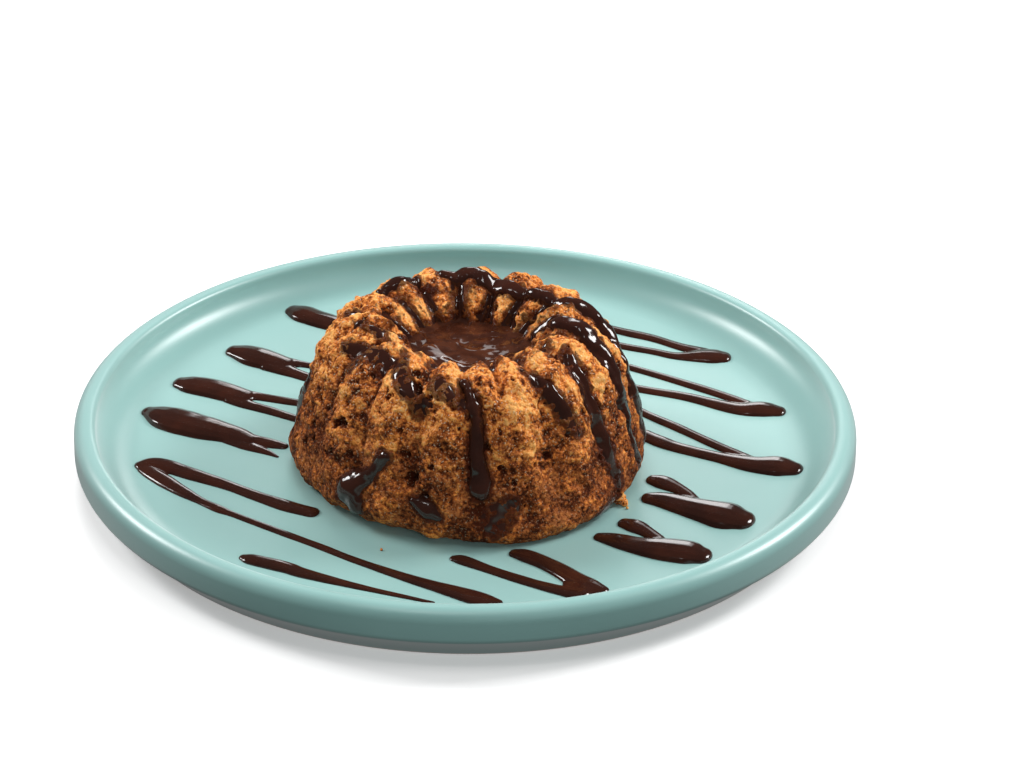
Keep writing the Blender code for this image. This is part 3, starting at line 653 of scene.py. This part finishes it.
for name, values in (("pore", painted_pore_shades), ("damp", damps), ("golden", golden_and_painted_lights)):
    cake.data.attributes.new(name, "FLOAT", "POINT").data.foreach_set("value", values)
cake.data.update()
thin = cake.modifiers.new("thin", "DECIMATE")
thin.ratio = CAKE_FACES / sum(len(face.vertices) - 2 for face in cake.data.polygons)
bpy.ops.object.modifier_apply(modifier=thin.name)

crumb = Finish("moist_crumb", {"IOR": 1.42, "Specular IOR Level": 0.12})
# Darkening in the bubbles' pits and the hollows: painted shade.
pore = crumb.attribute("pore")
damp = crumb.attribute("damp")
# Lighter top and lobes' backs, darker grooves: partly baked colour, partly painted light and painted shade.
golden = crumb.attribute("golden")
stirred = crumb.stirred(1.1, 0.8)
grains = 1 - crumb.rise(crumb.bubbles(1.15, stirred), 0.05, 0.8)
clumps = crumb.grain(6.5, 2)
mottle = crumb.grain(2.4, 3, 0.6)
fine = crumb.grain(0.95, 2, 0.6)
speckle = crumb.grain(0.42, 2, 0.6)
broad = 1.9 * (clumps - 0.5) + 1.5 * (mottle - 0.5)
close = 1.2 * (fine - 0.5) + 0.35 * (grains - 0.5) + 0.9 * (speckle - 0.5)
tone = 0.29 + 0.48 * golden + broad * (0.5 + 0.5 * golden) + close * (0.7 + 0.3 * golden) - 0.48 * pore
# Duller brown in the grooves and low down, where the crust is painted darker: painted shade mixed with the crust's own
# tone.
dull = (1 - golden) * 0.45 * crumb.rise(crumb.grain(4.2, 2), 0.45, 0.6)
dry = crumb.mix(dull * crumb.rise(tone, 0.2, 0.45), crumb.ramp(tone, CRUMB_TONES), CRUMB_DULL)
# Pale specks, mostly on the upper crust, are painted glints; the same specks are also made glossier.
gloss_and_painted_glint = crumb.rise(crumb.grain(0.5, 1), 0.63, 0.70) * (0.2 + 0.8 * golden)
dry = crumb.mix(gloss_and_painted_glint * 0.6, dry, CRUMB_PAINTED_GLINT)
soaked = damp + 1.0 * (speckle - 0.5) + 1.2 * (mottle - 0.5) + 0.8 * (fine - 0.5)
wet = crumb.rise(soaked, 0.35, 0.85)
crumb.feed("Base Color", crumb.mix(wet * 0.88, dry, CRUMB_WET))
crumb.feed("Roughness", 0.80 - 0.45 * gloss_and_painted_glint - 0.58 * wet)
relief = 0.35 * grains + 0.5 * mottle + 0.5 * fine + 0.35 * speckle
crumb.feed("Normal", crumb.bump(relief, 1.0, 0.75))
dress(cake, crumb, "cake")

# Sauce runs
# The same chocolate sauce, poured into the crater until it overflowed down the grooves. It fills the crust's
# bubbles and stands up in thick ribbons, with crumb poking through where it is thin.
RUN_STEPS = 900
RUN_PITCH = 0.3
RUN_SKIRT = -0.9
RUN_WALL = 0.8
runs = walked_and_turned("sauce_runs", cake_outline(RUN_PITCH), RUN_STEPS)
depths = []
for vertex, (place, normal, radius, groove) in zip(runs.data.vertices, fluted_skin(runs.data.vertices)):
    depth = sauce_depth(place, radius, groove) if 2 * GAP < place.z and radius > 12 else -4.0
    lump = 0.12 * noise.noise(place / 1.7) * smooth_step(0, 0.6, depth)
    vertex.co = (place + normal * (max(depth, RUN_SKIRT - 0.3) + lump + 0.1) + seat) * MM
    depths.append(depth)
bpy.ops.object.mode_set(mode="EDIT")
bpy.ops.mesh.select_all(action="DESELECT")
poured = bmesh.from_edit_mesh(runs.data)
for face in poured.faces:
    face.select_set(max(depths[vertex.index] for vertex in face.verts) < RUN_SKIRT)
bmesh.update_edit_mesh(runs.data)
bpy.ops.mesh.delete(type="FACE")
bpy.ops.object.mode_set(mode="OBJECT")
soft = runs.modifiers.new("soften", "SMOOTH")
soft.iterations = 6
bpy.ops.object.modifier_apply(modifier=soft.name)
wall = runs.modifiers.new("wall", "SOLIDIFY")
wall.thickness = RUN_WALL * MM
wall.offset = -1
bpy.ops.object.modifier_apply(modifier=wall.name)
bpy.ops.object.shade_smooth()
dress(runs, sauce, "cake")

# Sauce pool
# The chocolate sauce that fills the crater, still liquid and browner than the runs, because warm cake has melted
# into it. The last of the pour lies on it in a slow swirl, and it climbs a little up the crumb all round.
POOL_REACH = 18.4
POOL_PITCH = 0.3
POOL_STEPS = 240
POOL_BROWN = (0.041, 0.0115, 0.0058, 1)
POOL_LIGHT = (0.072, 0.0215, 0.0100, 1)
pool_top = [(index * POOL_PITCH, POOL_LEVEL) for index in range(round(POOL_REACH / POOL_PITCH) + 1)]
pool_outline = [*pool_top, (POOL_REACH - 1.0, POOL_LEVEL - 1.4), (13.0, 28.6), (7.0, 26.4), (0.0, 26.0)]
pool = walked_and_turned("pool_of_sauce", pool_outline, POOL_STEPS)
for vertex in pool.data.vertices:
    spot = vertex.co / MM
    radius = math.hypot(spot.x, spot.y)
    azimuth = azimuth_of(spot.x, spot.y)
    if spot.z > POOL_LEVEL - 0.1:
        outward = Vector((spot.x, spot.y, 0)).normalized() if radius > 0.1 else Vector((0, -1, 0))
        wall_away = skin.ray_cast(Vector((0, 0, POOL_LEVEL)), outward)[3] or POOL_REACH
        bent = spot + 2.2 * noise.noise_vector(spot / 9.0)
        curl = math.atan2(bent.x - 3.0, -(bent.y - 2.5)) + math.hypot(bent.x - 3.0, bent.y - 2.5) * 0.62
        fold = max(math.sin(curl), -0.35) * smooth_step(0.5, 5.0, math.hypot(bent.x - 3.0, bent.y - 2.5))
        spot.z += (0.20 + 0.5 * max(noise.noise(spot / 7.0 + Vector((3, 1, 0))), 0.0)) * fold
        spot.z += 0.14 * noise.noise(spot / 2.6)
        spot.z += 0.55 * smooth_step(wall_away - 2.2, wall_away + 0.8, radius)
    vertex.co = (spot + seat) * MM
pooled = Finish("pooled_sauce", {"IOR": 1.47, "Specular IOR Level": 0.5})
marbled = pooled.rise(pooled.grain(4.5, 2), 0.42, 0.62)
pooled.feed("Base Color", pooled.mix(marbled, POOL_BROWN, POOL_LIGHT))
pooled.feed("Roughness", 0.05 + 0.05 * pooled.grain(5, 2))
dress(pool, pooled, "sauce_pool")

# Loose crumbs
# Bits of the crust that broke off as the cake was turned out. The largest lies against its right foot.
LOOSE_CRUMBS = ((38.6, -31.0, 1.75), (39.9, -32.3, 1.0), (39.2, -29.8, 1.1), (40.6, -34.0, 0.4), (-20.5, -55.5, 0.35))
loose = []
for x, y, size in LOOSE_CRUMBS:
    bpy.ops.object.select_all(action="DESELECT")
    bpy.ops.mesh.primitive_ico_sphere_add(subdivisions=4, radius=size * MM, location=(0, 0, 0))
    bit = bpy.context.object
    for vertex in bit.data.vertices:
        spot = vertex.co / MM
        lump = noise.fractal(spot / 0.9 + Vector((x, y, 0)), 0.9, 2.1, 3)
        spot *= 1.0 + 0.34 * lump
        vertex.co = (spot + Vector((x, y, FLOOR_LEVEL + size * 0.85))) * MM
    loose.append(bit)
for bit in loose:
    bit.select_set(True)
bpy.context.view_layer.objects.active = loose[0]
bpy.ops.object.join()
loose_crumbs = bpy.context.object
loose_crumbs.name = "loose_crumbs"
bpy.ops.object.shade_smooth()
# The loose crumbs take the lightest crust tone everywhere, painted light included.
loose_golden_and_painted_light = loose_crumbs.data.attributes.new("golden", "FLOAT", "POINT")
loose_golden_and_painted_light.data.foreach_set("value", [1.0] * len(loose_crumbs.data.vertices))
dress(loose_crumbs, crumb, "cake")

# Floor and light
# A plain pale floor, a soft box over the plate and one at each side, as for a food picture. The floor throws no
# light back, so the plate's outer wall keeps its shade.
bpy.ops.object.select_all(action="DESELECT")
bpy.ops.mesh.primitive_plane_add(size=8)
ground = bpy.context.object
ground.name = "pale_floor"
paper = Finish("pale_paper", {"Base Color": (0.9, 0.9, 0.9, 1), "Roughness": 0.9, "Specular IOR Level": 0.1,
                              "Emission Color": (1, 1, 1, 1), "Emission Strength": 0.3})
ground.data.materials.append(paper.material)
ground.visible_diffuse = False
ground.visible_glossy = False

SOFT_BOXES = {
    "window_back": ((-0.12, 0.75, 0.85), 0.42, 5.0, False),
    "strip_back": ((0.10, 1.50, 0.42), 0.30, 1.25, True),
    "sheet_back": ((0.20, 1.44, 0.66), 0.30, 0.55, True),
    "box_over": ((0.12, -0.20, 1.10), 0.9, 4.1, False),
    "spark_over": ((-0.15, -0.45, 1.00), 0.12, 0.6, True),
    "box_left": ((-0.72, 0.30, 0.55), 0.28, 5.4, True),
    "box_right": ((0.67, 0.22, 0.52), 0.28, 5.8, True),
    "box_front": ((0.34, -1.25, 0.50), 0.8, 5.3, False),
}
for name, (place, size, power, mirrored) in SOFT_BOXES.items():
    bpy.ops.object.light_add(type="AREA", location=place)
    box = bpy.context.object
    box.name = name
    box.data.size = size
    box.data.energy = power
    box.visible_glossy = mirrored
    box.rotation_euler = (Vector((0, 0, 0.02)) - Vector(place)).to_track_quat("-Z", "Y").to_euler()
world = bpy.data.worlds.new("studio_air")
world.use_nodes = True
world.node_tree.nodes["Background"].inputs["Color"].default_value = (1, 1, 1, 1)
world.node_tree.nodes["Background"].inputs["Strength"].default_value = 0.07
bpy.context.scene.world = world
bpy.context.scene.view_settings.view_transform = "Standard"
